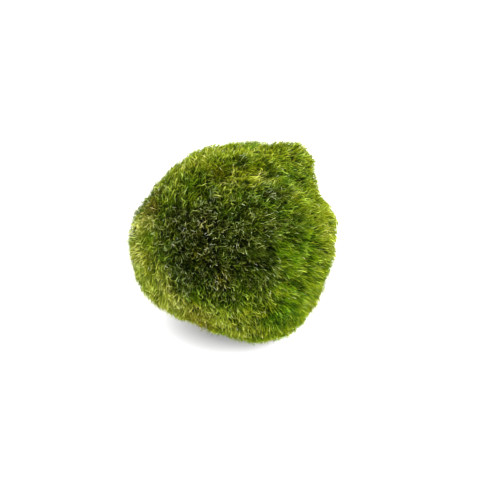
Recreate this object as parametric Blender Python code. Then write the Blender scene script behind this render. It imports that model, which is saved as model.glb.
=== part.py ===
"""A marimo moss ball: one soft, lumpy ball of green water weed, grown all round.

It is a single piece. Its surface is the reach of the moss tips, with a small tuft standing on
each facet, and it rests on the flat spot that its own weight has pressed.

Metres, +Z up. The origin is the middle of the flat spot, and -Y is the ball's front.
"""

import math
from random import Random

import bmesh
import bpy
from mathutils import Vector, noise

MM = 0.001

BALL_RADIUS = 24.8 * MM
CENTRE_HEIGHT = 23.3 * MM  # of the ball's middle above the flat spot

# Swellings and hollows of the ball: where each faces, in degrees of azimuth from +X towards +Y
# and of elevation, how wide it is in degrees from its middle, and how far it stands out.
LUMPS = {
    "ear": (37, 43, 11, 4.9 * MM),
    "ear_ridge": (66, 62, 12, 0.4 * MM),
    "ear_groove": (-4, 50, 7, -1.6 * MM),
    "ear_groove_end": (-40, 57, 8, -1.0 * MM),
    "neck": (17, 25, 7, -1.1 * MM),
    "right_shoulder": (7, 12, 9, 1.0 * MM),
    "right_side": (-6, -9, 6, 0.5 * MM),
    "right_hollow": (-14, -20, 7, -0.7 * MM),
    "crown_dip": (150, 42, 30, -1.1 * MM),
    "crown_edge": (132, 49, 9, 0.8 * MM),
    "left_notch": (-172, 30, 9, -0.8 * MM),
    "left_cheek": (-179, 0, 15, 1.4 * MM),
    "front_swell": (-112, 24, 26, 0.8 * MM),
    "front_hollow": (-62, 2, 13, -0.9 * MM),
    "lower_left_hollow": (-126, -51, 18, -3.6 * MM),
    "lower_left_shoulder": (-157, -31, 11, 0.6 * MM),
    "lower_right_swell": (-43, -44, 14, 2.0 * MM),
    "back_swell": (96, 4, 24, 1.1 * MM),
    "back_hollow": (132, -22, 17, -1.5 * MM),
    "back_low_swell": (62, -30, 16, 1.0 * MM),
}

# Unevenness too small to name: cycles across the ball's width, and how far it stands out.
UNEVENNESS = ((2.3, 0.55 * MM), (5.1, 0.30 * MM))

# The tufts, one on each triangle between the lattice points.
LATTICE_POINTS = 1500
LATTICE_JITTER = 0.28  # of the spacing between points
TUFT_HEIGHT = 1.1 * MM
TUFT_HEIGHT_SPREAD = 0.45  # share by which a tuft may be shorter
TUFT_LEAN = 0.6 * MM  # of a tuft's tip
PARTING = (-150, 38)  # azimuth and elevation where the moss points straight out
SWIRL_CYCLES = 1.7  # of the lie of the moss across the ball's width
SWIRL_SHARE = 0.8  # of the lie that swirls, beside the share that points away from the parting
PRESSED_BELOW = 3.5 * MM  # height under which the tufts are pressed ever flatter

SEED = 7
CUT_TOLERANCE = 0.0001 * MM
SMOOTH_UP_TO = 25  # degrees between two faces, over which their shared edge stays sharp

MOSS_COLOUR = (0.13, 0.20, 0.02, 1.0)
MOSS_ROUGHNESS = 0.95


def direction(azimuth, elevation):
    """The unit vector that faces this way, from degrees."""
    around, up = math.radians(azimuth), math.radians(elevation)
    return Vector((math.cos(up) * math.cos(around), math.cos(up) * math.sin(around), math.sin(up)))


LUMP_SHAPES = [(direction(az, el), math.radians(width), rise) for az, el, width, rise in LUMPS.values()]
PARTING_WAY = direction(*PARTING)
DOWN = Vector((0, 0, -1))


def reach(way):
    """How far the moss tips reach from the ball's middle in this direction."""
    radius = BALL_RADIUS
    for middle, width, rise in LUMP_SHAPES:
        radius += rise * math.exp(-((way.angle(middle, 0.0) / width) ** 2) / 2)
    for cycles, rise in UNEVENNESS:
        radius += rise * noise.noise(way * cycles)
    return radius


def standing(way):
    """How upright the tufts stand here: 1 in the open, and 0 where the floor has pressed them flat."""
    height = CENTRE_HEIGHT + (way * reach(way)).z
    share = min(max(height / PRESSED_BELOW, 0.0), 1.0)
    return share * share * (3 - 2 * share)


def lattice(rng):
    """Directions spread evenly over a sphere along a spiral, each moved a little at random."""
    turn = math.pi * (3 - math.sqrt(5))
    spacing = math.sqrt(4 * math.pi / LATTICE_POINTS)
    for i in range(LATTICE_POINTS):
        z = 1 - (2 * i + 1) / LATTICE_POINTS
        ring = math.sqrt(1 - z * z)
        way = Vector((ring * math.cos(turn * i), ring * math.sin(turn * i), z))
        step = Vector([rng.uniform(-1, 1) for _ in range(3)]) * spacing * LATTICE_JITTER
        yield (way + step).normalized()


def lie(way):
    """The direction along the surface in which the moss leans here."""
    away = (way - PARTING_WAY).normalized() + noise.noise_vector(way * SWIRL_CYCLES) * SWIRL_SHARE
    return (away - way * away.dot(way)).normalized()


def raise_tufts(bm, rng):
    """Stands a leaning tuft on every face, with its tip at the ball's reach."""
    tips = bmesh.ops.poke(bm, faces=bm.faces[:])["verts"]
    for tip in tips:
        way = tip.co.normalized()
        upright = standing(way)
        short = TUFT_HEIGHT * TUFT_HEIGHT_SPREAD * rng.random()
        tip.co = way * (reach(way) - short * upright) + lie(way) * TUFT_LEAN * upright


def press_flat_spot(bm):
    """Cuts the ball off level at the height of the floor, and closes the cut."""
    cut = bmesh.ops.bisect_plane(
        bm,
        geom=bm.verts[:] + bm.edges[:] + bm.faces[:],
        dist=CUT_TOLERANCE,
        plane_co=DOWN * CENTRE_HEIGHT,
        plane_no=DOWN,
        clear_outer=True,
    )
    rim = [e for e in cut["geom_cut"] if isinstance(e, bmesh.types.BMEdge) and e.is_boundary]
    bmesh.ops.contextual_create(bm, geom=rim)


def moss_mesh():
    rng = Random(SEED)
    bm = bmesh.new()
    for way in lattice(rng):
        bm.verts.new(way)
    hull = bmesh.ops.convex_hull(bm, input=bm.verts[:])
    assert not hull["geom_interior"]
    for vert in bm.verts:
        way = vert.co.normalized()
        vert.co = way * (reach(way) - TUFT_HEIGHT * standing(way))
    raise_tufts(bm, rng)
    press_flat_spot(bm)
    bmesh.ops.translate(bm, verts=bm.verts[:], vec=-DOWN * CENTRE_HEIGHT)
    bmesh.ops.recalc_face_normals(bm, faces=bm.faces[:])
    mesh = bpy.data.meshes.new("moss_ball")
    bm.to_mesh(mesh)
    bm.free()
    mesh.shade_smooth()
    mesh.set_sharp_from_angle(angle=math.radians(SMOOTH_UP_TO))
    return mesh


def moss_material():
    material = bpy.data.materials.new("moss")
    material.use_nodes = True
    shader = material.node_tree.nodes["Principled BSDF"]
    shader.inputs["Base Color"].default_value = MOSS_COLOUR
    shader.inputs["Roughness"].default_value = MOSS_ROUGHNESS
    shader.inputs["Metallic"].default_value = 0.0
    return material


def main():
    for old in list(bpy.data.objects):
        bpy.data.objects.remove(old)
    mesh = moss_mesh()
    mesh.materials.append(moss_material())
    ball = bpy.data.objects.new("moss_ball", mesh)
    bpy.context.scene.collection.objects.link(ball)


main()
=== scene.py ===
"""The looks of a marimo moss ball: a deep pile of fine green filaments over a dark matted base."""
import math

import bmesh
import bpy
import numpy as np
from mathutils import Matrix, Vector, noise
from mathutils.bvhtree import BVHTree
from mathutils.kdtree import KDTree


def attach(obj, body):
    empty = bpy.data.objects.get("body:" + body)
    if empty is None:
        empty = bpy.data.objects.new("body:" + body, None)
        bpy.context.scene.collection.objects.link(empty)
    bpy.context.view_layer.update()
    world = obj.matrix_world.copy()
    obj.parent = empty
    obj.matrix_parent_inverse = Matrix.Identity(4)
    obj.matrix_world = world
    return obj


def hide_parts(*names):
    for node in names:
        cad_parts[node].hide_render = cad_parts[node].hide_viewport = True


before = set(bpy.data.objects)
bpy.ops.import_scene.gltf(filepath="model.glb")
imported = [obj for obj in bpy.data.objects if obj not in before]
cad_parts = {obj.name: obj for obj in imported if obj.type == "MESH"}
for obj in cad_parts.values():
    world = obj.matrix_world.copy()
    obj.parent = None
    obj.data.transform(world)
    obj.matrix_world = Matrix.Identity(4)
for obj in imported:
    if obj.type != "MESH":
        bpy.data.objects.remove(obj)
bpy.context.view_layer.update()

MM = 0.001
SEED = 11
NODE = "moss_ball"
BODY = "root"

BALL_MIDDLE = np.array([0.0, 0.0, 23.3 * MM])

# Places on the ball are given by azimuth from +X towards +Y, elevation, and width from the
# place's middle, in degrees. Their names say where they show in the photograph. Layers of noise
# are given by cycles across the ball, a place in the noise, and strength.
NOISE_SLANT = 0.7  # of the line along which the places in the noise lie
PATCH_FALL = 3  # power of the angle with which a patch falls off around its width
PATCH_EDGE = ((5.5, 3.0, 0.35), (13.0, 8.0, 0.2))  # noise that makes its edge uneven

# The photograph's view of the ball. Its sizes are in pixels, the angle in degrees, and the lens
# and the sensor in millimetres.
PHOTO_SIZE = 480
PHOTO_BALL_MIDDLE = (233, 243)  # from the left and from the top
VIEW_ELEVATION = 32
VIEW_DISTANCE = 276 * MM
LENS = 85
SENSOR = 36
NEAREST_SEEN = 0.01

# The pile's skin: the smooth surface through the highest tips.
SKIN_SUBDIVISIONS = 7  # of the sphere that it is measured on
SKIN_SMOOTHING = 18  # times that the solid's tufts are blended
SKIN_ABOVE_MEAN = 0.92 * MM  # of the skin over the average face of the tufted solid
SKIN_LUMPS = ((7.0, 2.0, 0.35 * MM), (17.0, 2.0, 0.20 * MM))  # noise added to it
SKIN_RISES = {  # place, and how much further out the skin stands there
    "ear": (37, 43, 16, 0.2 * MM),
    "right": (12, 16, 22, 0.2 * MM),
    "left": (-178, 8, 18, 0.35 * MM),
    "lower_left": (-154, -36, 12, -0.25 * MM),
    "right_low": (-18, -29, 6, 0.5 * MM),
    "right_dent": (-10, -17, 6, -0.75 * MM),
    "left_dent": (-175, -8, 6, -0.7 * MM),
    "top_left_dent": (138, 47, 7, -0.5 * MM),
    "top": (72, 57, 9, 0.4 * MM),
    "left_notch": (-168, 32, 7, 0.3 * MM),
    "left_upper": (169, 17, 7, 0.5 * MM),
    "right_middle": (0, 0, 6, 0.2 * MM),
    "bottom": (-90, -58, 6, 0.4 * MM),
    "bottom_right": (-43, -47, 7, 0.3 * MM),
    "bottom_middle": (-56, -53, 6, -0.4 * MM),
    "bottom_left": (-140, -46, 9, 0.7 * MM),
}

MAT_DEPTH = 1.5 * MM  # of the matted base below the skin
MAT_SUBDIVISIONS = 6
MAT_LUMPS = ((30.0, 0.0, 0.35 * MM),)  # noise added to its surface

PILE_DEPTH = 1.8 * MM  # of the roots below the skin
LONG_PILE = 0.6 * MM  # how much deeper they are where the pile is long
LONG_PATCHES = {  # place, and how strongly the pile is long there
    "right": (-40, 6, 44, 1.0),
    "bottom": (-80, -30, 30, 0.6),
    "low_left": (-140, -20, 30, 0.4),
    "top_right": (-30, 62, 20, 0.6),
    "back": (80, -20, 50, 0.8),
    "ear": (33, 46, 20, 0.6),
}
RAGGED_PATCHES = {  # place, and how ragged the rim is there
    "left": (-178, 22, 42, 1.0),
    "top": (90, 68, 34, 0.5),
    "bottom": (-90, -55, 34, 0.35),
}
RAGGED_RISE = -0.36 * MM  # of the skin there
RAGGED_STRAY = 4.0  # how much more unevenly tall the strands are
# The gaps between the tufts hold painted shade. At the ragged rims it is deeper by this value.
RAGGED_GAP_SHADE = 0.8  # how much more the gaps between the tufts show
RAGGED_BRIGHT = 0.25  # how much more unevenly bright the strands are
# Where the painted shade in the gaps between the tufts is deeper, by the value below.
TUFTED_PATCHES = {"bottom": (-82, -30, 24, 1.0), "ear": (33, 46, 15, 0.6)}
TUFTED_GAP_SHADE = 0.9  # how much more the gaps between the tufts show there
UNDERSIDE = (-0.97, -0.85)  # heights on the unit ball between which the pile thins out
UNDERSIDE_DENSITY = 0.4  # of the pile there, beside the rest
CROWN_DENSITY = 0.2  # of the pile between the crown's curls
EAR = (37, 43, 18)
EAR_DENSITY = 1.8
SHORT_BELOW = (-0.9, -0.3)  # heights on the unit ball between which the pile shortens
SHORT_DEPTH = 0.7  # share of the pile's depth that is left under the ball
FLOOR_GAP = 0.12 * MM  # between the floor and what is pressed on it
FLOOR_LAYERS = 0.5 * MM  # over which strands that the floor presses flat are stacked

# How each kind of strand grows. Heights are shares of the pile's depth, and widths are radii.
# "sectors" are its pieces, side by side around the ball. "on" names the patches that it grows on.
# "lean" is added to the usual lean, "length" is the most that it reaches, and "pale" is its share
# of pale strands. The other values multiply the usual depth, disorder, curl, turns of the coil,
# pull of the clumps, and brightness, "on_dark" the brightness on dark patches.
STRANDS = {
    "pile": {
        "count": 34500,
        "segments": 3,
        "height": (0.60, 0.98),
        "width": (0.036 * MM, 0.063 * MM),
        "sectors": ("front", "right", "back_right", "back_left", "left"),
        # Painted shade: the pile under the curls on the dark patches is darker.
        "on_dark": 0.05,
    },
    "combed": {
        "count": 8200,
        "segments": 3,
        "height": (0.78, 1.0),
        "width": (0.036 * MM, 0.059 * MM),
        "sectors": ("front", "back"),
        "on": "long",
        "disorder": 0.5,
        "pull": 0.5,
        "bright": 1.05,
    },
    "curls": {
        "count": 8500,
        "segments": 5,
        "height": (0.75, 1.04),
        "width": (0.040 * MM, 0.062 * MM),
        "sectors": ("front", "right", "left"),
        "on": "dark",
        "depth": 0.75,
        "lean": 22,
        "length": 3.4 * MM,
        "curl": 0.9,
        "turns": 1.8,
        "bright": 1.7,
        "pale": 0.08,
    },
    "fuzz": {
        "count": 3000,
        "segments": 3,
        "height": (1.0, 1.35),
        "width": (0.030 * MM, 0.050 * MM),
        "sectors": ("all",),
        "lean": -26,
        "disorder": 1.2,
        "curl": 0.9,
        "pull": 0.0,
        "bright": 2.2,
        "pale": 0.3,
    },
}
FIRST_SECTOR = -135  # azimuth where the first sector starts
SIDES = 3  # of a strand's tube
LAST_WIDTH = 0.85  # of the last ring before the tip
LAST_STEP = 0.45  # length of the tip, beside the steps before it

# The lie of the pile: how far the strands lean from upright, in degrees, and which way.
PARTING = (-150, 38)  # azimuth and elevation of the spot that the pile leans away from
LEAN = 56
CROWN_UPRIGHT = 0.4  # share by which the crown's strands lean less
UNDER_UPRIGHT = 0.6  # and the strands under the ball
LONG_LEAN = 8  # more of it where the pile is long
UNEVEN_LEAN = ((3.3, 5.0, 12),)  # noise added to it
LEAN_JITTER = 16  # its spread from strand to strand
MOST_LEAN = 78
BEND = 0.35  # share by which a strand leans less at its root and more at its tip
MOST_LENGTH = 5.5 * MM  # of a strand
LIE_SWIRL = 0.3  # how strongly noise turns the lie
LIE_SWIRL_CYCLES = 2.6
LIE_HANG = 0.3  # how strongly the pile hangs down the ball's lower part
HANG_BELOW = 0.4  # height on the unit ball under which it does
# Where the pile is combed another way than from the parting: place, and the angle of the tips in
# the photograph's view, in degrees from its right side upwards.
STROKES = {
    "right": (-40, 18, 26, -12),
    "right_low": (-50, -4, 20, -24),
    "bottom_right": (-57, -22, 18, -45),
    "bottom": (-82, -24, 18, -65),
    "low": (-92, 2, 14, -62),
    "low_left": (-112, -12, 14, -45),
    "upper_right": (-35, 57, 24, 0),
    "upper_middle": (-80, 55, 14, 22),
    "crown_low_right": (-76, 9, 14, -38),
}
LEAST_FACING = 0.3  # cosine to the view from which on a stroke's angle is followed
DISORDER = 1.3  # of single strands' lie
DISORDER_TURN = 0.6  # how far a strand turns per unit of disorder
TANGLE = (-122, 37, 28)  # where the crown's pile is tangled
TANGLE_DISORDER = 1.3  # more disorder there
LONG_ORDER = 1.0  # less of it where the pile is long
LEAST_DISORDER = 0.2
LONG_TURN = 0.5  # share of the clumps' and locks' turn that is left where the pile is long
CURL = 0.22 * MM  # radius of the coil that a strand follows
TANGLE_CURL = 0.14 * MM  # more of it in the tangle
LONG_CURL = -0.12 * MM  # less of it where the pile is long
COIL_TURNS = (0.3, 1.0)  # fewest and most from root to tip
COIL_SIZES = (0.4, 1.6)  # smallest and largest radius, beside the usual one
COIL_HEIGHT = 0.5  # of the coil, beside its width

# The strands stand in small clumps, and the clumps in locks. Each clump or lock has a lean, a
# turn, a height and a brightness of its own, with the spreads given here.
LOCKS = {"count": 800, "lean": 7, "turn": 0.25, "height": 0.04, "bright": 0.10}
CLUMPS = {"count": 4600, "lean": 8, "turn": 0.30, "height": 0.055, "bright": 0.06}
CLUMP_PULL = 0.3  # share of the way to the clump's middle that a usual strand's tip bends
PULL_SPREAD = (0.3, 1.3)  # least and most of single strands, beside the usual
PULL_GROWTH = 1.5  # power with which the pull grows along a strand
LOCK_BORDER = 0.28  # share of a lock's reach that counts as the gap beside it
CLUMP_BORDER = 0.35
CLUMP_GAP = 0.4  # of a clump's gap, beside a lock's
# Painted shade between the tufts: a strand in a gap is painted darker.
GAP_SHADE = 0.4  # share by which a strand in a gap is darker
MOST_GAP_SHADE = 0.85  # the same where the gaps show most
GAP_HEIGHT = 0.14  # share by which it is shorter
CROWN_EVEN = 0.35  # share by which the gaps show less on the crown
MOST_HEIGHT = 1.12  # of a lock's or clump's strands, beside the usual
STRAY_HEIGHT = 0.04  # mean share by which a strand stands out of the rest
MOST_STRAY = 0.25  # the largest share, which doubles at the ragged rims

# The strands' brightness, which multiplies their colours.
BRIGHT = 0.278
STRAND_BRIGHT = 0.58  # its spread from strand to strand, as powers of e
LONG_BRIGHT = -0.10  # less spread where the pile is long
CROWN_BRIGHT = 0.6  # more spread on the crown
CROWN_FINE = 0.25  # share by which the strands are thinner there
# Painted light and shade: taller strands, standing out into the light, are brighter, and shorter ones,
# deeper in the pile, darker.
TALL_PAINTED_LIGHT = 0.9  # power of e by which a strand is brighter that stands twice as high
MOST_TALL = 0.3  # share by which it stands higher, from where on it gets no brighter
MOST_BRIGHT = 2.4
UNEVEN_BRIGHT = ((4.0, 7.0, 0.1), (8.0, 7.0, 0.25), (16.0, 7.0, 0.3))  # noise, as powers of e
# Brighter and darker patches of the pile: mostly its own tone, but some are painted light and shade, as
# marked below.
TONES_AND_PAINTED_LIGHT = {  # place, and share by which the pile is brighter there
    # Painted light from above on the top, in the next two.
    "top": (150, 76, 24, 0.22),
    "top_right": (47, 68, 14, 0.15),
    "ear": (32, 49, 15, 0.2),
    # Painted shade under the ball, where it nears the floor.
    "under": (-110, -42, 12, -0.45),
    # Painted glow of light through the strands at the left rim, in the next three.
    "left_edge": (-162, 4, 16, 0.55),
    "left_rim": (-173, 12, 8, 1.6),
    "left_upper_edge": (-169, 45, 6, 1.1),
    "top_left": (-161, 63, 7, -0.3),
    "left_notch": (-173, 37, 6, -0.45),
    "top_left_inner": (-137, 72, 5, -0.3),
    # Painted glow of light through the strands at the lower left rim.
    "left_low_edge": (-147, -9, 11, 0.8),
    "right_shoulder": (-32, 42, 9, -0.25),
    "top_right_tuft": (-40, 65, 6, 2.6),
    "top_spot": (-136, 77, 7, -0.35),
    "top_right_spot": (-13, 70, 8, -0.5),
    "low_left_spot": (-109, -1, 6, -0.6),
    "crown_middle_low": (-92, 21, 6, -0.25),
    "low_left": (-130, -3, 12, 0.2),
    "upper_middle": (-112, 57, 8, 1.0),
    "upper_spot": (-80, 57, 5, -0.3),
    "upper_spot_left": (-116, 54, 4, 0.3),
    "low_right": (-54, -16, 12, -0.35),
    # Painted shade towards the ball's bottom.
    "bottom": (-82, -26, 13, -0.3),
    "top_middle": (-42, 78, 11, -0.45),
    "upper_right": (-28, 57, 9, -0.35),
    "upper_left": (-133, 51, 11, -0.4),
    "left": (-133, 32, 8, -0.5),
    "left_notch_low": (-152, 33, 4, 0.4),
    "upper_middle_spot": (-96, 62, 5, 0.4),
    "crown_upper": (-90, 43, 6, 0.6),
    "crown_upper_right": (-77, 46, 4, -0.3),
    "upper_spot_right": (-62, 57, 5, 0.35),
    "top_middle_low": (-79, 73, 5, 0.35),
    "bottom_left": (-113, -13, 11, 0.5),
    "bottom_tuft": (-90, -21, 7, 1.25),
    "left_middle": (-119, 21, 6, -0.2),
    "right_middle": (-38, 30, 10, -0.45),
    "right_inner": (-56, 7, 7, -0.35),
    "right": (-50, 12, 18, -0.33),
    "crown_right": (-67, 26, 12, -0.55),
    "crown_low": (-81, 12, 12, -0.6),
    "crown_left": (-104, 29, 5, -0.4),
    "crown_middle": (-91, 35, 5, -0.4),
    "crown_tangle": (-93, 15, 3, 0.8),
    "crown_tangle_left": (-99, 11, 4, -0.5),
    "right_tuft": (-44, 8, 6, 1.0),
    # Painted glow of light through the strands at the right rim.
    "right_upper_rim": (4, 13, 9, 0.3),
    "bottom_right": (-46, -36, 9, -0.3),
}

# The strands' turn of hue, greener or, below 0, browner.
TINTS = {  # place, and the turn there
    "upper_left": (-142, 50, 8, 0.020),
    "top_left": (-156, 64, 7, 0.015),
    "upper_middle": (-113, 62, 6, 0.015),
    "crown_upper_left": (-94, 47, 7, 0.030),
    "crown_upper": (-78, 50, 6, 0.015),
    "upper_right": (-52, 48, 10, 0.015),
    "right": (-42, 25, 9, 0.008),
    "crown_right": (-72, 22, 6, 0.035),
    "left": (-124, 19, 8, 0.035),
    "low_left": (-111, 4, 8, 0.035),
    "low_right": (-55, -2, 10, 0.005),
    "bottom_right": (-60, -21, 9, 0.035),
    "crown_low": (-86, 15, 5, 0.015),
    "left_notch": (-157, 34, 7, -0.015),
    "left_crown": (-131, 38, 7, -0.025),
    "crown_left": (-112, 37, 8, -0.025),
    "bottom_left": (-112, -20, 9, -0.030),
    "left_low": (-140, 5, 14, -0.010),
    "top_spot": (-129, 75, 6, -0.035),
    "ear": (12, 48, 10, 0.015),
    "top_middle": (-60, 70, 9, -0.025),
}
UNEVEN_TINT = ((5.0, 11.0, 0.025), (12.0, 11.0, 0.035))  # noise added to it
LONG_TINT = 0.5  # share by which it is less uneven where the pile is long
STRAND_TINT = 0.010  # its spread from strand to strand
UNTURNED_HUE = 0.5  # value of the hue that leaves a colour as it is

# Pale strands: partly pale threads of their own, partly painted glints on their tips.
PALE_SHARE = 0.03  # of the strands
PALE_STRENGTHS = (0.4, 1.0)  # how pale those are, at least and at most
PALE_SPOTS = {  # place of a pale tangle, and the share of pale strands there
    "crown_low": (-94, 14, 4, 0.3),
    "crown_left": (-109, 38, 5, 0.3),
    "crown_top": (-84, 50, 4, 0.3),
    "left": (-150, 30, 5, 0.25),
}

# Patches of colour: place and strength.
COLOUR_CONTRAST = 3  # how sharply a patch's strands change from one colour to the other
PATCHES = {
    "dark": {
        "crown": (-105, 28, 33, 1.0),
        "crown_upper_right": (-68, 42, 19, 0.7),
        "crown_right": (-69, 29, 11, 0.95),
        "crown_low_right": (-74, 13, 17, 0.95),
        "low": (-90, 4, 13, 0.7),
        "low_left": (-115, 13, 13, 1.0),
        "bottom_right": (-59, -22, 9, 0.3),
        "groove": (-20, 53, 10, 0.4),
        "left_notch": (-174, 34, 12, 1.0),
        "ear_foot": (-43, 54, 9, 0.95),
        "right_middle": (-46, 33, 13, 0.6),
        "right_band": (-46, 28, 10, 0.65),
        "upper_left": (-150, 62, 8, 0.4),
        "top_left_spot": (-122, 74, 6, 0.4),
        "top_right": (-12, 66, 11, 0.45),
        "upper_middle": (-86, 54, 6, 0.6),
        "upper_middle_left": (-112, 58, 10, 0.1),
        "top_spot": (-42, 83, 7, 0.9),
        "ear_spot": (5, 64, 5, 0.4),
        "upper_spot": (-72, 61, 4.5, 0.7),
        "upper_left_spot": (-130, 67, 6, 0.6),
        "right_spot": (-29, 5, 5, 0.5),
        "bottom_right_spot": (-60, -23, 5, 0.6),
        "low_spot": (-97, -2, 5, 0.6),
    },
    "lime": {
        "top": (175, 68, 19, 0.6),
        # Partly the tips' own yellow-green, partly painted glow of light through the strands at the
        # left rim, in the next two.
        "left_rim": (-154, 6, 15, 0.7),
        "left_edge": (-172, 17, 12, 0.9),
        "left_low": (-132, 3, 10, 1.0),
        # Partly the tips' own yellow-green, partly painted glow of light through the strands at the
        # lower left rim.
        "left_low_edge": (-166, -8, 11, 0.9),
        "upper_middle": (-92, 64, 7, 0.7),
        "low_left_arc": (-122, -10, 15, 1.0),
        "low_left": (-138, -22, 14, 0.8),
        "bottom": (-86, -26, 17, 0.7),
        "bottom_left": (-106, -12, 10, 0.8),
        # Partly the tips' own yellow-green, partly painted glow of light through the strands at the
        # right rim, in the next two.
        "right_rim": (-12, 12, 15, 0.65),
        "right_low_rim": (-14, -20, 12, 0.6),
        "ear": (29, 46, 15, 0.5),
    },
    "lush": {
        "right": (-44, 14, 26, 0.8),
        "right_low": (-46, -16, 16, 0.6),
        "ear": (20, 44, 12, 0.5),
        "low_left": (-135, -32, 14, 0.4),
        "back": (110, 20, 44, 0.6),
    },
    "grey": {
        "left_crown": (-131, 38, 10, 0.6),
        "crown_left": (-110, 38, 9, 0.7),
        "crown": (-101, 29, 12, 0.6),
        "crown_low": (-92, 14, 9, 0.7),
        "crown_right": (-80, 17, 9, 0.5),
        "crown_low_right": (-82, 9, 6, 0.6),
        "left_notch": (-162, 36, 10, 0.6),
    },
    "brown": {
        "top_middle": (-110, 73, 8, 0.6),
        "left_notch": (-168, 33, 10, 0.95),
        "crown": (-109, 23, 5, 0.8),
        "crown_low": (-94, 12, 4, 0.4),
        "bottom_left": (-108, -15, 7, 0.6),
        "bottom_left_rim": (-112, -27, 12, 0.8),
        "back": (60, 40, 9, 0.6),
    },
    "straw": {
        "left": (-158, 27, 8, 0.9),
        "left_rim": (-168, 12, 10, 0.5),
        "low_left": (-124, -7, 7, 0.5),
        "bottom_left": (-107, -16, 8, 0.8),
        "crown": (-107, 39, 5, 0.4),
        "crown_low": (-94, 13, 5, 0.15),
        "back": (40, 10, 8, 0.5),
    },
}

# Mottling between the patches, as a layer of noise for each colour.
MOTTLES = {"dark": (8.0, 33.0, 0.35), "lime": (6.0, 37.0, 0.3), "lush": (5.0, 43.0, 0.7)}
MOTTLE_STEP = (0.1, 0.55)  # values of the noise between which the colour sets in

# The colours of a strand from its root to its tip: of the pile as a whole, and of the other kinds
# of moss, each mixed over those before it.
# Their near-black roots are partly the filaments' own darker colour and partly painted shade deep in
# the pile.
GREEN = ((0.0, (0.003, 0.004, 0.001)), (0.43, (0.085, 0.125, 0.011)), (0.78, (0.24, 0.335, 0.033)))
COLOURS = {
    "lush": ((0.0, (0.003, 0.007, 0.001)), (0.40, (0.062, 0.125, 0.008)), (0.75, (0.165, 0.31, 0.021))),
    "lime": ((0.0, (0.006, 0.008, 0.001)), (0.40, (0.125, 0.165, 0.016)), (0.80, (0.48, 0.56, 0.081))),
    "dark": ((0.0, (0.001, 0.001, 0.001)), (0.45, (0.002, 0.002, 0.001)), (0.8, (0.095, 0.118, 0.095))),
    "grey": ((0.0, (0.001, 0.001, 0.001)), (0.45, (0.002, 0.002, 0.001)), (0.8, (0.115, 0.118, 0.135))),
    "brown": ((0.0, (0.004, 0.003, 0.001)), (0.5, (0.030, 0.024, 0.006)), (0.88, (0.15, 0.13, 0.025))),
    "straw": ((0.0, (0.010, 0.009, 0.002)), (0.5, (0.130, 0.130, 0.030)), (0.88, (0.50, 0.49, 0.132))),
    # Partly the pale threads' own colour, partly painted glints.
    "pale": ((0.0, (0.01, 0.01, 0.004)), (0.6, (0.05, 0.05, 0.015)), (0.9, (0.30, 0.31, 0.20))),
}
FULL_GREEN = 0.30  # green of a colour in which no red or blue is lost
RED_LOSS = 0.10  # power of the green's share with which red is lost
BLUE_LOSS = 0.82
TRANSLUCENCE = 0.9  # of a strand against the light
LIGHT_REACH = (0.25 * MM, 0.25 * MM, 0.08 * MM)  # of red, green and blue light inside it
ROUGHNESS = 0.45
MORE_ROUGHNESS = 0.3  # that its mottles add
ROUGH_MOTTLES = (1500, 2)  # cycles a metre, and how many finer layers they have
SPECULAR = 0.01

# The colours of the mat from its darker to its lighter mottles: near black, partly the inner filaments'
# own dark green and partly painted shade deep in the pile.
MAT = ((0.3, (0.0015, 0.0025, 0.0005)), (0.75, (0.009, 0.014, 0.002)))
# Blacker under the dark patches: painted shade in the holes between the crown's curls, besides the dark
# moss's own colour.
DARK_MAT = ((0.3, (0.0003, 0.0003, 0.0003)), (0.75, (0.002, 0.003, 0.0005)))  # on the crown
MAT_MOTTLES = (900, 4)  # cycles a metre, and how many finer layers they have
MAT_ROUGHNESS = 0.95

# The map that holds each strand's unrolled faces in a square cell of its own, in shares of the
# cell's side.
MAP_ROOT = ((0.1, 0.02), (0.9, 0.02), (0.5, 0.1))  # corners of the face that closes the root
MAP_ACROSS = (0.06, 0.94)  # where the tube's sides start and end from left to right
MAP_UP = (0.1, 0.98)  # and from bottom to top

# The studio, in metres and watts.
FLOOR_SIZE = 6
FLOOR_COLOUR = (0.95, 0.95, 0.95, 1)
FLOOR_ROUGHNESS = 0.9
FLOOR_SPECULAR = 0.1
LIGHTS = {  # place, side and power
    "softbox_top": ((0.2, -0.4, 0.65), 0.6, 4.5),
    "softbox_front": ((0.45, -0.5, 0.3), 0.5, 3.5),
    "softbox_back": ((0.15, 0.6, 0.4), 0.5, 2.0),
    "softbox_right": ((0.6, 0.1, 0.3), 0.5, 4.0),
}
SKY_COLOUR = (1, 1, 1, 1)
SKY_STRENGTH = 2.0


def direction(azimuth, elevation):
    """The unit vector that faces this way, from degrees."""
    around, up = math.radians(azimuth), math.radians(elevation)
    return np.array([math.cos(up) * math.cos(around), math.cos(up) * math.sin(around), math.sin(up)])


VIEW_RIGHT = np.array([1.0, 0.0, 0.0])
VIEW_BACK = direction(-90, VIEW_ELEVATION)
VIEW_UP = np.cross(VIEW_BACK, VIEW_RIGHT)


def unit(vectors):
    """The vectors with their lengths made 1."""
    return vectors / np.linalg.norm(vectors, axis=-1, keepdims=True)


def dot(a, b):
    """The dot products, kept as a last axis of one value."""
    return np.sum(a * b, axis=-1, keepdims=True)


def ramp_up(values, low, high):
    """0 up to the low value and 1 from the high one, with a soft step between."""
    share = np.clip((values - low) / (high - low), 0, 1)
    return share * share * (3 - 2 * share)


def icosphere(subdivisions):
    """The unit icosphere's points, triangles and edges."""
    bm = bmesh.new()
    bmesh.ops.create_icosphere(bm, subdivisions=subdivisions, radius=1)
    points = unit(np.array([v.co for v in bm.verts]))
    triangles = np.array([[v.index for v in f.verts] for f in bm.faces])
    edges = np.array([[v.index for v in e.verts] for e in bm.edges])
    bm.free()
    return points, triangles, edges


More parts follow.
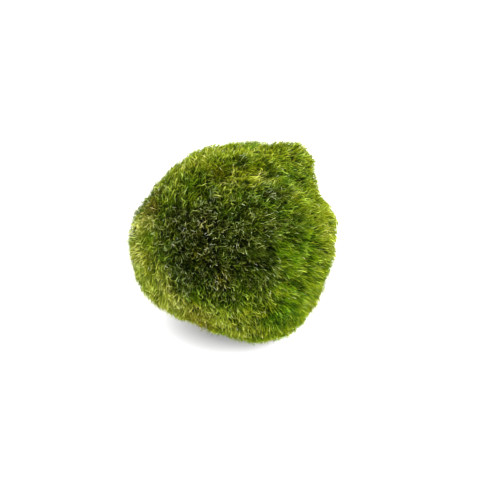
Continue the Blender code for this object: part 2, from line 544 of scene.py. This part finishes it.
def smooth(values, edges, times):
    """Blends each point's value with its neighbours', so many times."""
    a, b = edges.T
    count = np.bincount(edges.ravel(), minlength=len(values))
    for _ in range(times):
        around = np.bincount(a, values[b], len(values)) + np.bincount(b, values[a], len(values))
        values = (values + around / count) / 2
    return values


def noise_at(ways, cycles, place):
    """Smooth noise from about -1 to 1 over the ball, with so many cycles across its width."""
    offset = Vector((place, place * NOISE_SLANT, -place))
    return np.array([noise.noise(Vector(w) * cycles + offset) for w in ways])


def noise_layers(ways, layers):
    """The sum of layers of noise in each direction."""
    return sum(strength * noise_at(ways, cycles, place) for cycles, place, strength in layers)


def noise_vectors_at(ways, cycles):
    """Smooth noise in which each direction has a vector."""
    return np.array([noise.noise_vector(Vector(w) * cycles) for w in ways])


def vertex_normals(points, triangles):
    """The mean normal of the triangles around each point."""
    a, b, c = (points[triangles[:, i]] for i in range(3))
    faces = np.cross(b - a, c - a)
    normals = np.zeros_like(points)
    for i in range(3):
        np.add.at(normals, triangles[:, i], faces)
    return unit(normals)


def measure_skin(ways, edges):
    """The skin's distance from the ball's middle in each direction, measured on the solid."""
    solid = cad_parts[NODE].data
    tree = BVHTree.FromPolygons([v.co for v in solid.vertices], [p.vertices for p in solid.polygons])
    middle = Vector(BALL_MIDDLE)
    far = np.array([tree.ray_cast(middle, Vector(w))[3] for w in ways])
    lumps = noise_layers(ways, SKIN_LUMPS)
    lumps += sum(rise * patch_shape(ways, *where) for *where, rise in SKIN_RISES.values())
    return smooth(far, edges, SKIN_SMOOTHING) + SKIN_ABOVE_MEAN + lumps


def patch_shape(ways, azimuth, elevation, width, edge=1.0):
    """1 over a patch's middle, falling to 0 past its width."""
    angle = np.degrees(np.arccos(np.clip(ways @ direction(azimuth, elevation), -1, 1)))
    return np.exp(-((angle / width * edge) ** PATCH_FALL))


def patch_weights(ways, patches):
    """How strongly the patches show in each direction, their edges made uneven by noise."""
    edge = 1 + noise_layers(ways, PATCH_EDGE)
    total = np.zeros(len(ways))
    for *where, strength in patches.values():
        total = np.maximum(total, strength * patch_shape(ways, *where, edge))
    return total


def comb(normals, angle):
    """The direction along the surface that has this angle in the photograph's view."""
    seen = VIEW_RIGHT * math.cos(math.radians(angle)) + VIEW_UP * math.sin(math.radians(angle))
    facing = np.maximum(dot(normals, VIEW_BACK), LEAST_FACING)
    return unit(seen - VIEW_BACK * dot(normals, seen) / facing)


def lie_of_pile(ways, normals):
    """The direction in which the pile leans at each point of the skin."""
    lie = flatten(ways - direction(*PARTING), normals)
    free = np.ones((len(ways), 1))
    combed = np.zeros_like(ways)
    for azimuth, elevation, width, angle in STROKES.values():
        share = patch_shape(ways, azimuth, elevation, width)[:, None]
        combed += comb(normals, angle) * share
        free = np.minimum(free, 1 - share)
    swirl = noise_vectors_at(ways, LIE_SWIRL_CYCLES) * LIE_SWIRL
    hang = np.clip(HANG_BELOW - ways[:, 2], 0, 1)[:, None] * np.array([0, 0, -1.0]) * LIE_HANG
    return flatten(lie * free + combed + swirl + hang, normals)


def make_ground():
    """The skin, and what the strands need to know of each of its points."""
    ways, triangles, edges = icosphere(SKIN_SUBDIVISIONS)
    ragged = patch_weights(ways, RAGGED_PATCHES)
    far = measure_skin(ways, edges) + RAGGED_RISE * ragged
    points = BALL_MIDDLE + ways * far[:, None]
    normals = vertex_normals(points, triangles)
    long = patch_weights(ways, LONG_PATCHES)
    lean = LEAN + LONG_LEAN * long + noise_layers(ways, UNEVEN_LEAN)
    lean *= 1 - UNDER_UPRIGHT * (1 - ramp_up(ways[:, 2], *SHORT_BELOW))
    bright = np.exp(noise_layers(ways, UNEVEN_BRIGHT))
    # Patches of the pile's own tone and of painted light and shade.
    for *where, change in TONES_AND_PAINTED_LIGHT.values():
        bright *= 1 + change * patch_shape(ways, *where)
    tint = noise_layers(ways, UNEVEN_TINT) * (1 - LONG_TINT * long)
    for *where, change in TINTS.values():
        tint += change * patch_shape(ways, *where)
    short = SHORT_DEPTH + (1 - SHORT_DEPTH) * ramp_up(ways[:, 2], *SHORT_BELOW)
    ground = {
        "points": points,
        "normals": normals,
        "ways": ways,
        "far": far,
        "mat": far - MAT_DEPTH * short,
        "depth": (PILE_DEPTH + LONG_PILE * long) * short,
        "lean": lean,
        "lie": lie_of_pile(ways, normals),
        "bright": bright,
        "tint": tint,
        "long": long,
        "ragged": ragged,
        "tufted": patch_weights(ways, TUFTED_PATCHES),
        "tangle": patch_shape(ways, *TANGLE),
        "pale": patch_weights(ways, PALE_SPOTS),
    }
    for colour, patches in PATCHES.items():
        ground[colour] = patch_weights(ways, patches)
    for colour, (cycles, place, strength) in MOTTLES.items():
        mottle = strength * ramp_up(noise_at(ways, cycles, place), *MOTTLE_STEP)
        ground[colour] = np.maximum(ground[colour], mottle)
    ground["open"] = UNDERSIDE_DENSITY + (1 - UNDERSIDE_DENSITY) * ramp_up(ways[:, 2], *UNDERSIDE)
    ground["open"] *= 1 - (1 - CROWN_DENSITY) * ground["dark"]
    ground["open"] *= 1 + (EAR_DENSITY - 1) * patch_shape(ways, *EAR)
    ground["triangles"] = triangles
    ground["tree"] = KDTree(len(ways))
    for i, way in enumerate(ways):
        ground["tree"].insert(way, i)
    ground["tree"].balance()
    return ground


def closest(ground, points):
    """The numbers of the ground's points that lie in the same directions as these."""
    return np.array([ground["tree"].find(way)[1] for way in unit(points - BALL_MIDDLE)])


def flatten(lie, normals):
    """The unit direction along the surface that comes closest to the one given."""
    return unit(lie - normals * dot(lie, normals))


def sample(ground, rng, count, on="open"):
    """Picks root places over the skin, as dense as the named value says, and reads the ground."""
    triangles = ground["triangles"]
    weights = ground[on][triangles].mean(1)
    chosen = rng.choice(len(triangles), count, p=weights / weights.sum())
    corners = triangles[np.sort(chosen)]
    shares = rng.dirichlet((1, 1, 1), len(corners))
    read = {}
    for key, values in ground.items():
        if key not in ("triangles", "tree"):
            at = values[corners]
            read[key] = (at * (shares if at.ndim == 2 else shares[:, :, None])).sum(1)
    for key in ("normals", "lie", "ways"):
        read[key] = unit(read[key])
    return read


def shares_along(segments):
    """Where a strand's steps end, as shares of its length. The last step, the tip, is short."""
    steps = np.ones(segments)
    steps[-1] = LAST_STEP
    return np.concatenate([[0], np.cumsum(steps / steps.sum())])


def sweep(roots, depth, height, lean, lie, shares, most):
    """Paths that rise from their roots and bend over along the lie, as (strand, step, xyz)."""
    normals = roots["normals"]
    middles = (shares[1:] + shares[:-1]) / 2
    tilts = np.radians(lean[:, None] * (1 - BEND + 2 * BEND * middles))
    steps = np.diff(shares)
    length = np.minimum(height / (np.cos(tilts) * steps).sum(1), most)
    path = [roots["points"] - normals * depth[:, None]]
    for tilt, step in zip(tilts.T, steps):
        onward = normals * np.cos(tilt)[:, None] + lie * np.sin(tilt)[:, None]
        path.append(path[-1] + onward * (length * step)[:, None])
    path = np.stack(path, 1)
    along = path - path[:, :1]
    sideways = along - normals[:, None] * dot(along, normals[:, None])
    fall = dot(sideways, sideways) / (2 * roots["far"][:, None, None])
    return path - normals[:, None] * fall


def coil(normals, lie, t, rng, turns):
    """Part of a turn of a flattened coil around each strand, from nothing at its root."""
    count = len(lie)
    start = rng.uniform(0, 2 * math.pi, (count, 1, 1))
    angle = start + 2 * math.pi * turns * rng.uniform(*COIL_TURNS, (count, 1, 1)) * t
    size = rng.uniform(*COIL_SIZES, (count, 1, 1))
    aside = np.cross(normals, lie)[:, None] * (np.cos(angle) - np.cos(start))
    up = normals[:, None] * (np.sin(angle) - np.sin(start)) * COIL_HEIGHT
    return (aside + up) * size


def make_tufts(ground, rng, how):
    """The middles of the clumps or locks, and what all strands of one share."""
    count = how["count"]
    tufts = sample(ground, rng, count)
    tufts["lean"] = rng.normal(0, how["lean"], count)
    tufts["turn"] = rng.normal(0, how["turn"], (count, 3))
    tufts["height"] = rng.normal(0, how["height"], count)
    tufts["bright"] = rng.normal(0, how["bright"], count)
    tufts["lot"] = rng.random(count)
    return tufts


def gather(points, tufts):
    """The closest tuft to each point, and how far inside it the point is, from 0 at its border."""
    tree = KDTree(len(tufts["points"]))
    for i, middle in enumerate(tufts["points"]):
        tree.insert(middle, i)
    tree.balance()
    found = [tree.find_n(p, 2) for p in points]
    own = np.array([pair[0][1] for pair in found])
    inside = np.array([1 - pair[0][2] / pair[1][2] for pair in found])
    return own, inside


def press_on_floor(path, rng):
    """Lays flat on the floor what would reach under it."""
    layer = FLOOR_GAP + FLOOR_LAYERS * rng.random((len(path), 1))
    path[..., 2] = np.maximum(path[..., 2], layer)
    return path


def grow(ground, locks, clumps, rng, how):
    """Strands of one kind: their paths, their widths and what their colours depend on."""
    count = how["count"]
    roots = sample(ground, rng, count, how.get("on", "open"))
    lock, inside = gather(roots["points"], locks)
    clump, inside_clump = gather(roots["points"], clumps)
    tufts = {key: locks[key][lock] + clumps[key][clump] for key in ("lean", "turn", "height", "bright")}
    tufts["lot"] = clumps["lot"][clump]
    gap = 1 - ramp_up(inside, 0, LOCK_BORDER)
    gap = np.maximum(gap, CLUMP_GAP * (1 - ramp_up(inside_clump, 0, CLUMP_BORDER)))
    gap *= 1 - CROWN_EVEN * roots["dark"]

    usual = roots["lean"] * (1 - CROWN_UPRIGHT * roots["dark"]) + how.get("lean", 0)
    usual = np.minimum(usual, MOST_LEAN)
    lean = np.clip(usual + tufts["lean"] + rng.normal(0, LEAN_JITTER, count), 0, MOST_LEAN)
    disorder = DISORDER + TANGLE_DISORDER * roots["tangle"] - LONG_ORDER * roots["long"]
    disorder = np.maximum(disorder, LEAST_DISORDER) * how.get("disorder", 1)
    turn = tufts["turn"] * (1 - (1 - LONG_TURN) * roots["long"][:, None])
    lie = roots["lie"] + turn + rng.normal(0, 1, (count, 3)) * disorder[:, None] * DISORDER_TURN
    lie = flatten(lie, roots["normals"])
    depth = roots["depth"] * how.get("depth", 1)
    stray = rng.exponential(STRAY_HEIGHT, count) * (1 + RAGGED_STRAY * roots["ragged"])
    stray = np.minimum(stray, MOST_STRAY * (1 + roots["ragged"]))
    share = np.minimum(1 + tufts["height"], MOST_HEIGHT) * (1 - GAP_HEIGHT * gap)
    height = depth * (rng.uniform(*how["height"], count) * share + stray)
    height *= np.minimum(1, np.cos(np.radians(lean)) / np.cos(np.radians(usual)))
    shares = shares_along(how["segments"])
    path = sweep(roots, depth, height, lean, lie, shares, how.get("length", MOST_LENGTH))

    t = shares[None, :, None]
    drift = clumps["points"][clump] - roots["points"]
    pull = CLUMP_PULL * how.get("pull", 1) * rng.uniform(*PULL_SPREAD, (count, 1, 1))
    path += drift[:, None] * pull * t**PULL_GROWTH
    curl = CURL + TANGLE_CURL * roots["tangle"] + LONG_CURL * roots["long"]
    curl *= how.get("curl", 1)
    path += coil(roots["normals"], lie, t, rng, how.get("turns", 1)) * curl[:, None, None]
    path = press_on_floor(path, rng)

    strands = {
        "path": path,
        "along": np.broadcast_to(t[..., 0], path.shape[:2]),
        "azimuth": np.degrees(np.arctan2(roots["ways"][:, 1], roots["ways"][:, 0])),
    }
    tip = closest(ground, path[:, -1])
    tall = height / roots["depth"] - 1
    strands.update(paint(ground, roots, tufts, gap, tall, tip, rng, how))
    return strands


def paint(ground, roots, tufts, gap, tall, tip, rng, how):
    """The strands' widths and what their colours depend on, mostly on the ground under their tips."""
    count = how["count"]
    dark = ground["dark"][tip]
    spread = STRAND_BRIGHT + CROWN_BRIGHT * dark + LONG_BRIGHT * ground["long"][tip]
    spread += RAGGED_BRIGHT * roots["ragged"]
    # Painted light and shade by how high a strand stands.
    tall = TALL_PAINTED_LIGHT * np.minimum(tall, MOST_TALL)
    power = rng.normal(0, 1, count) * spread + tufts["bright"] + tall
    # Painted shade in the gaps between the tufts, deeper at the ragged rims and where the pile is
    # tufted.
    more = 1 + RAGGED_GAP_SHADE * roots["ragged"] + TUFTED_GAP_SHADE * roots["tufted"]
    bright = BRIGHT * np.exp(power) * (1 - np.minimum(GAP_SHADE * gap * more, MOST_GAP_SHADE))
    bright = np.minimum(bright * ground["bright"][tip] * how.get("bright", 1), MOST_BRIGHT)
    width = rng.uniform(*how["width"], count) * (1 - CROWN_FINE * dark)
    # Pale strands, partly painted glints.
    pale = rng.random(count) < how.get("pale", PALE_SHARE) + ground["pale"][tip]
    looks = {
        "width": width,
        # Painted shade of the pile under the curls on the dark patches.
        "bright": bright * (1 - (1 - how.get("on_dark", 1)) * dark),
        "pale": pale * rng.uniform(*PALE_STRENGTHS, count),
        "tint": ground["tint"][tip] + rng.normal(0, STRAND_TINT, count),
    }
    for colour in PATCHES:
        lot = (rng.random(count) + tufts["lot"]) / 2
        looks[colour] = np.clip((ground[colour][tip] - lot) * COLOUR_CONTRAST + 0.5, 0, 1)
    return looks


def tube_faces(rings):
    """The faces of one strand's tube, by its own points, and their corners' places on the map."""
    across = np.linspace(*MAP_ACROSS, SIDES + 1)
    up = np.linspace(*MAP_UP, rings + 1)
    tip = rings * SIDES
    faces = [tuple(range(SIDES))[::-1]]
    spots = [MAP_ROOT]
    for r in range(rings):
        ring = r * SIDES
        for s in range(SIDES):
            n = (s + 1) % SIDES
            foot = ((across[s], up[r]), (across[s + 1], up[r]))
            if r < rings - 1:
                faces.append((ring + s, ring + n, ring + SIDES + n, ring + SIDES + s))
                spots.append((*foot, (across[s + 1], up[r + 1]), (across[s], up[r + 1])))
            else:
                faces.append((ring + s, ring + n, tip))
                spots.append((*foot, ((across[s] + across[s + 1]) / 2, up[r + 1])))
    return faces, spots


def tube_mesh(name, strands, rng):
    """One joined mesh of closed, pointed tubes, with a map and with colour values by point."""
    path = strands["path"]
    count, steps = path.shape[:2]
    rings = steps - 1
    taper = 1 - (1 - LAST_WIDTH) * (np.arange(rings) / (rings - 1)) ** 2
    width = strands["width"][:, None] * taper
    mean = unit(path[:, -1] - path[:, 0])
    side = unit(np.cross(mean, rng.normal(0, 1, mean.shape)))
    other = np.cross(mean, side)
    turns = 2 * math.pi * np.arange(SIDES) / SIDES
    spokes = side[:, None] * np.cos(turns)[:, None] + other[:, None] * np.sin(turns)[:, None]
    around = path[:, :rings, None] + spokes[:, None] * width[:, :, None, None]
    points = np.concatenate([around.reshape(count, rings * SIDES, 3), path[:, -1:]], 1)
    per_strand = rings * SIDES + 1

    faces, spots = tube_faces(rings)
    corners = np.concatenate([np.array(f) for f in faces])
    sizes = np.array([len(f) for f in faces])
    all_corners = (corners[None] + np.arange(count)[:, None] * per_strand).ravel()
    all_sizes = np.tile(sizes, count)
    starts = np.concatenate([[0], np.cumsum(all_sizes)[:-1]])

    mesh = bpy.data.meshes.new(name)
    mesh.vertices.add(count * per_strand)
    mesh.vertices.foreach_set("co", points.astype(np.float32).ravel())
    mesh.loops.add(len(all_corners))
    mesh.loops.foreach_set("vertex_index", all_corners.astype(np.int32))
    mesh.polygons.add(len(all_sizes))
    mesh.polygons.foreach_set("loop_start", starts.astype(np.int32))
    mesh.polygons.foreach_set("loop_total", all_sizes.astype(np.int32))
    mesh.update(calc_edges=True)
    mesh.validate()
    mesh.shade_smooth()

    cells = math.ceil(math.sqrt(count))
    cell = np.arange(count)
    corner_spots = np.concatenate([np.array(s) for s in spots])
    uv = corner_spots[None] + np.stack([cell % cells, cell // cells], 1)[:, None]
    layer = mesh.uv_layers.new(name="OFBake")
    layer.data.foreach_set("uv", (uv / cells).astype(np.float32).ravel())

    along = strands["along"]
    rings_along = np.repeat(along[:, :rings], SIDES, 1)
    per_point = {"along": np.concatenate([rings_along, along[:, -1:]], 1).ravel()}
    for key in ("bright", "tint", "pale", *PATCHES):
        per_point[key] = np.repeat(strands[key], per_strand)
    for key, values in per_point.items():
        attribute = mesh.attributes.new(key, "FLOAT", "POINT")
        attribute.data.foreach_set("value", values.astype(np.float32))
    return mesh


def new_object(name, data):
    """An object that is part of the scene."""
    thing = bpy.data.objects.new(name, data)
    bpy.context.scene.collection.objects.link(thing)
    return thing


def dress(piece, material):
    """Makes the object a piece of the model, in this material."""
    piece.data.materials.append(material)
    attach(piece, BODY)
    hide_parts(NODE)


class Nodes:
    """A short way to write a material's nodes."""

    # Sockets of a mix node that take and give colours.
    MIX_FROM = 6
    MIX_TO = 7
    MIX_RESULT = 2

    def __init__(self, name):
        self.material = bpy.data.materials.new(name)
        self.material.use_nodes = True
        self.tree = self.material.node_tree
        self.shader = self.tree.nodes["Principled BSDF"]

    def link(self, value, socket):
        if isinstance(value, bpy.types.NodeSocket):
            self.tree.links.new(value, socket)
        else:
            socket.default_value = value

    def attribute(self, name):
        node = self.tree.nodes.new("ShaderNodeAttribute")
        node.attribute_name = name
        return node.outputs["Fac"]

    def math(self, operation, a, b=0.0, clamp=False):
        node = self.tree.nodes.new("ShaderNodeMath")
        node.operation = operation
        node.use_clamp = clamp
        self.link(a, node.inputs[0])
        self.link(b, node.inputs[1])
        return node.outputs[0]

    def mix(self, factor, a, b):
        node = self.tree.nodes.new("ShaderNodeMix")
        node.data_type = "RGBA"
        self.link(factor, node.inputs[0])
        self.link(a, node.inputs[self.MIX_FROM])
        self.link(b, node.inputs[self.MIX_TO])
        return node.outputs[self.MIX_RESULT]

    def ramp(self, factor, stops):
        node = self.tree.nodes.new("ShaderNodeValToRGB")
        elements = node.color_ramp.elements
        for i, (place, colour) in enumerate(stops):
            element = elements[i] if i < 2 else elements.new(place)
            element.position = place
            element.color = (*colour, 1.0)
        self.link(factor, node.inputs[0])
        return node.outputs[0]

    def noise(self, scale, detail):
        where = self.tree.nodes.new("ShaderNodeTexCoord")
        node = self.tree.nodes.new("ShaderNodeTexNoise")
        node.inputs["Scale"].default_value = scale
        node.inputs["Detail"].default_value = detail
        self.link(where.outputs["Object"], node.inputs["Vector"])
        return node.outputs["Fac"]

    def turn(self, colour, hue, bright):
        """Turns the colour's hue, and multiplies its brightness."""
        node = self.tree.nodes.new("ShaderNodeHueSaturation")
        self.link(colour, node.inputs["Color"])
        self.link(hue, node.inputs["Hue"])
        self.link(bright, node.inputs["Value"])
        return node.outputs[0]

    def deepen(self, colour, full, red, blue):
        """Takes red and blue out of a colour, ever more as its green falls below its full strength."""
        parts = self.tree.nodes.new("ShaderNodeSeparateColor")
        whole = self.tree.nodes.new("ShaderNodeCombineColor")
        self.link(colour, parts.inputs[0])
        self.link(parts.outputs["Green"], whole.inputs["Green"])
        share = self.math("DIVIDE", parts.outputs["Green"], full, clamp=True)
        for part, power in (("Red", red), ("Blue", blue)):
            kept = self.math("MULTIPLY", parts.outputs[part], self.math("POWER", share, power))
            self.link(kept, whole.inputs[part])
        return whole.outputs[0]


def pile_material():
    nodes = Nodes("moss_pile")
    along = nodes.attribute("along")
    colour = nodes.ramp(along, GREEN)
    for name, stops in COLOURS.items():
        colour = nodes.mix(nodes.attribute(name), colour, nodes.ramp(along, stops))
    hue = nodes.math("ADD", nodes.attribute("tint"), UNTURNED_HUE)
    colour = nodes.turn(colour, hue, nodes.attribute("bright"))
    colour = nodes.deepen(colour, FULL_GREEN, RED_LOSS, BLUE_LOSS)
    nodes.link(colour, nodes.shader.inputs["Base Color"])
    mottle = nodes.math("MULTIPLY", nodes.noise(*ROUGH_MOTTLES), MORE_ROUGHNESS)
    nodes.link(nodes.math("ADD", mottle, ROUGHNESS), nodes.shader.inputs["Roughness"])
    nodes.shader.inputs["Specular IOR Level"].default_value = SPECULAR
    nodes.shader.inputs["Subsurface Weight"].default_value = TRANSLUCENCE
    nodes.shader.inputs["Subsurface Radius"].default_value = LIGHT_REACH
    nodes.shader.inputs["Subsurface Scale"].default_value = 1.0
    return nodes.material


def mat_material():
    nodes = Nodes("moss_mat")
    mottle = nodes.noise(*MAT_MOTTLES)
    # The mat's painted shade is blacker under the dark patches.
    colour = nodes.mix(nodes.attribute("dark"), nodes.ramp(mottle, MAT), nodes.ramp(mottle, DARK_MAT))
    nodes.link(colour, nodes.shader.inputs["Base Color"])
    nodes.shader.inputs["Roughness"].default_value = MAT_ROUGHNESS
    nodes.shader.inputs["Specular IOR Level"].default_value = SPECULAR
    return nodes.material


def make_mat(ground):
    """The matted base that the strands grow from."""
    ways, triangles, _ = icosphere(MAT_SUBDIVISIONS)
    near = closest(ground, BALL_MIDDLE + ways)
    far = ground["mat"][near] + noise_layers(ways, MAT_LUMPS)
    points = BALL_MIDDLE + ways * far[:, None]
    points[:, 2] = np.maximum(points[:, 2], FLOOR_GAP)
    mesh = bpy.data.meshes.new("moss_mat")
    mesh.from_pydata(points.tolist(), [], triangles.tolist())
    mesh.shade_smooth()
    dark = mesh.attributes.new("dark", "FLOAT", "POINT")
    dark.data.foreach_set("value", ground["dark"][near].astype(np.float32))
    dress(new_object("moss_mat", mesh), mat_material())


def make_moss():
    """The mat, and on it each kind of strand, in a piece for each of its sectors."""
    rng = np.random.default_rng(SEED)
    noise.seed_set(SEED)  # so that the vector noise is the same each run
    ground = make_ground()
    make_mat(ground)
    locks = make_tufts(ground, rng, LOCKS)
    clumps = make_tufts(ground, rng, CLUMPS)
    material = pile_material()
    for kind, how in STRANDS.items():
        strands = grow(ground, locks, clumps, rng, how)
        names = how["sectors"]
        sector = (strands["azimuth"] - FIRST_SECTOR) % 360 // (360 / len(names))
        for i, name in enumerate(names):
            chosen = {key: values[sector == i] for key, values in strands.items()}
            piece = f"{kind}_{name}"
            dress(new_object(piece, tube_mesh(piece, chosen, rng)), material)


def make_floor():
    bpy.ops.mesh.primitive_plane_add(size=FLOOR_SIZE)
    floor = bpy.context.object
    floor.name = "floor"
    nodes = Nodes("floor")
    nodes.shader.inputs["Base Color"].default_value = FLOOR_COLOUR
    nodes.shader.inputs["Roughness"].default_value = FLOOR_ROUGHNESS
    nodes.shader.inputs["Specular IOR Level"].default_value = FLOOR_SPECULAR
    floor.data.materials.append(nodes.material)


def area_light(name, place, side, power):
    """A square light that faces the ball's middle."""
    data = bpy.data.lights.new(name, "AREA")
    data.size = side
    data.energy = power
    light = new_object(name, data)
    light.location = place
    light.rotation_euler = (Vector(BALL_MIDDLE) - light.location).to_track_quat("-Z", "Y").to_euler()


def make_lights():
    for name, (place, side, power) in LIGHTS.items():
        area_light(name, place, side, power)
    world = bpy.data.worlds.new("studio")
    world.use_nodes = True
    background = world.node_tree.nodes["Background"]
    background.inputs["Color"].default_value = SKY_COLOUR
    background.inputs["Strength"].default_value = SKY_STRENGTH
    bpy.context.scene.world = world
    bpy.context.scene.view_settings.view_transform = "Standard"


def make_camera():
    """The photograph's camera, aimed so that the ball's middle shows at its place there."""
    pixel = VIEW_DISTANCE * SENSOR / LENS / PHOTO_SIZE
    aim = BALL_MIDDLE + VIEW_RIGHT * (PHOTO_SIZE / 2 - PHOTO_BALL_MIDDLE[0]) * pixel
    aim = aim + VIEW_UP * (PHOTO_BALL_MIDDLE[1] - PHOTO_SIZE / 2) * pixel
    data = bpy.data.cameras.new("camera")
    data.lens = LENS
    data.sensor_width = SENSOR
    data.clip_start = NEAREST_SEEN
    camera = new_object("camera", data)
    camera.location = aim + VIEW_BACK * VIEW_DISTANCE
    camera.rotation_mode = "QUATERNION"
    camera.rotation_quaternion = Vector(-VIEW_BACK).to_track_quat("-Z", "Y")
    bpy.context.scene.camera = camera


make_moss()
make_floor()
make_lights()
make_camera()
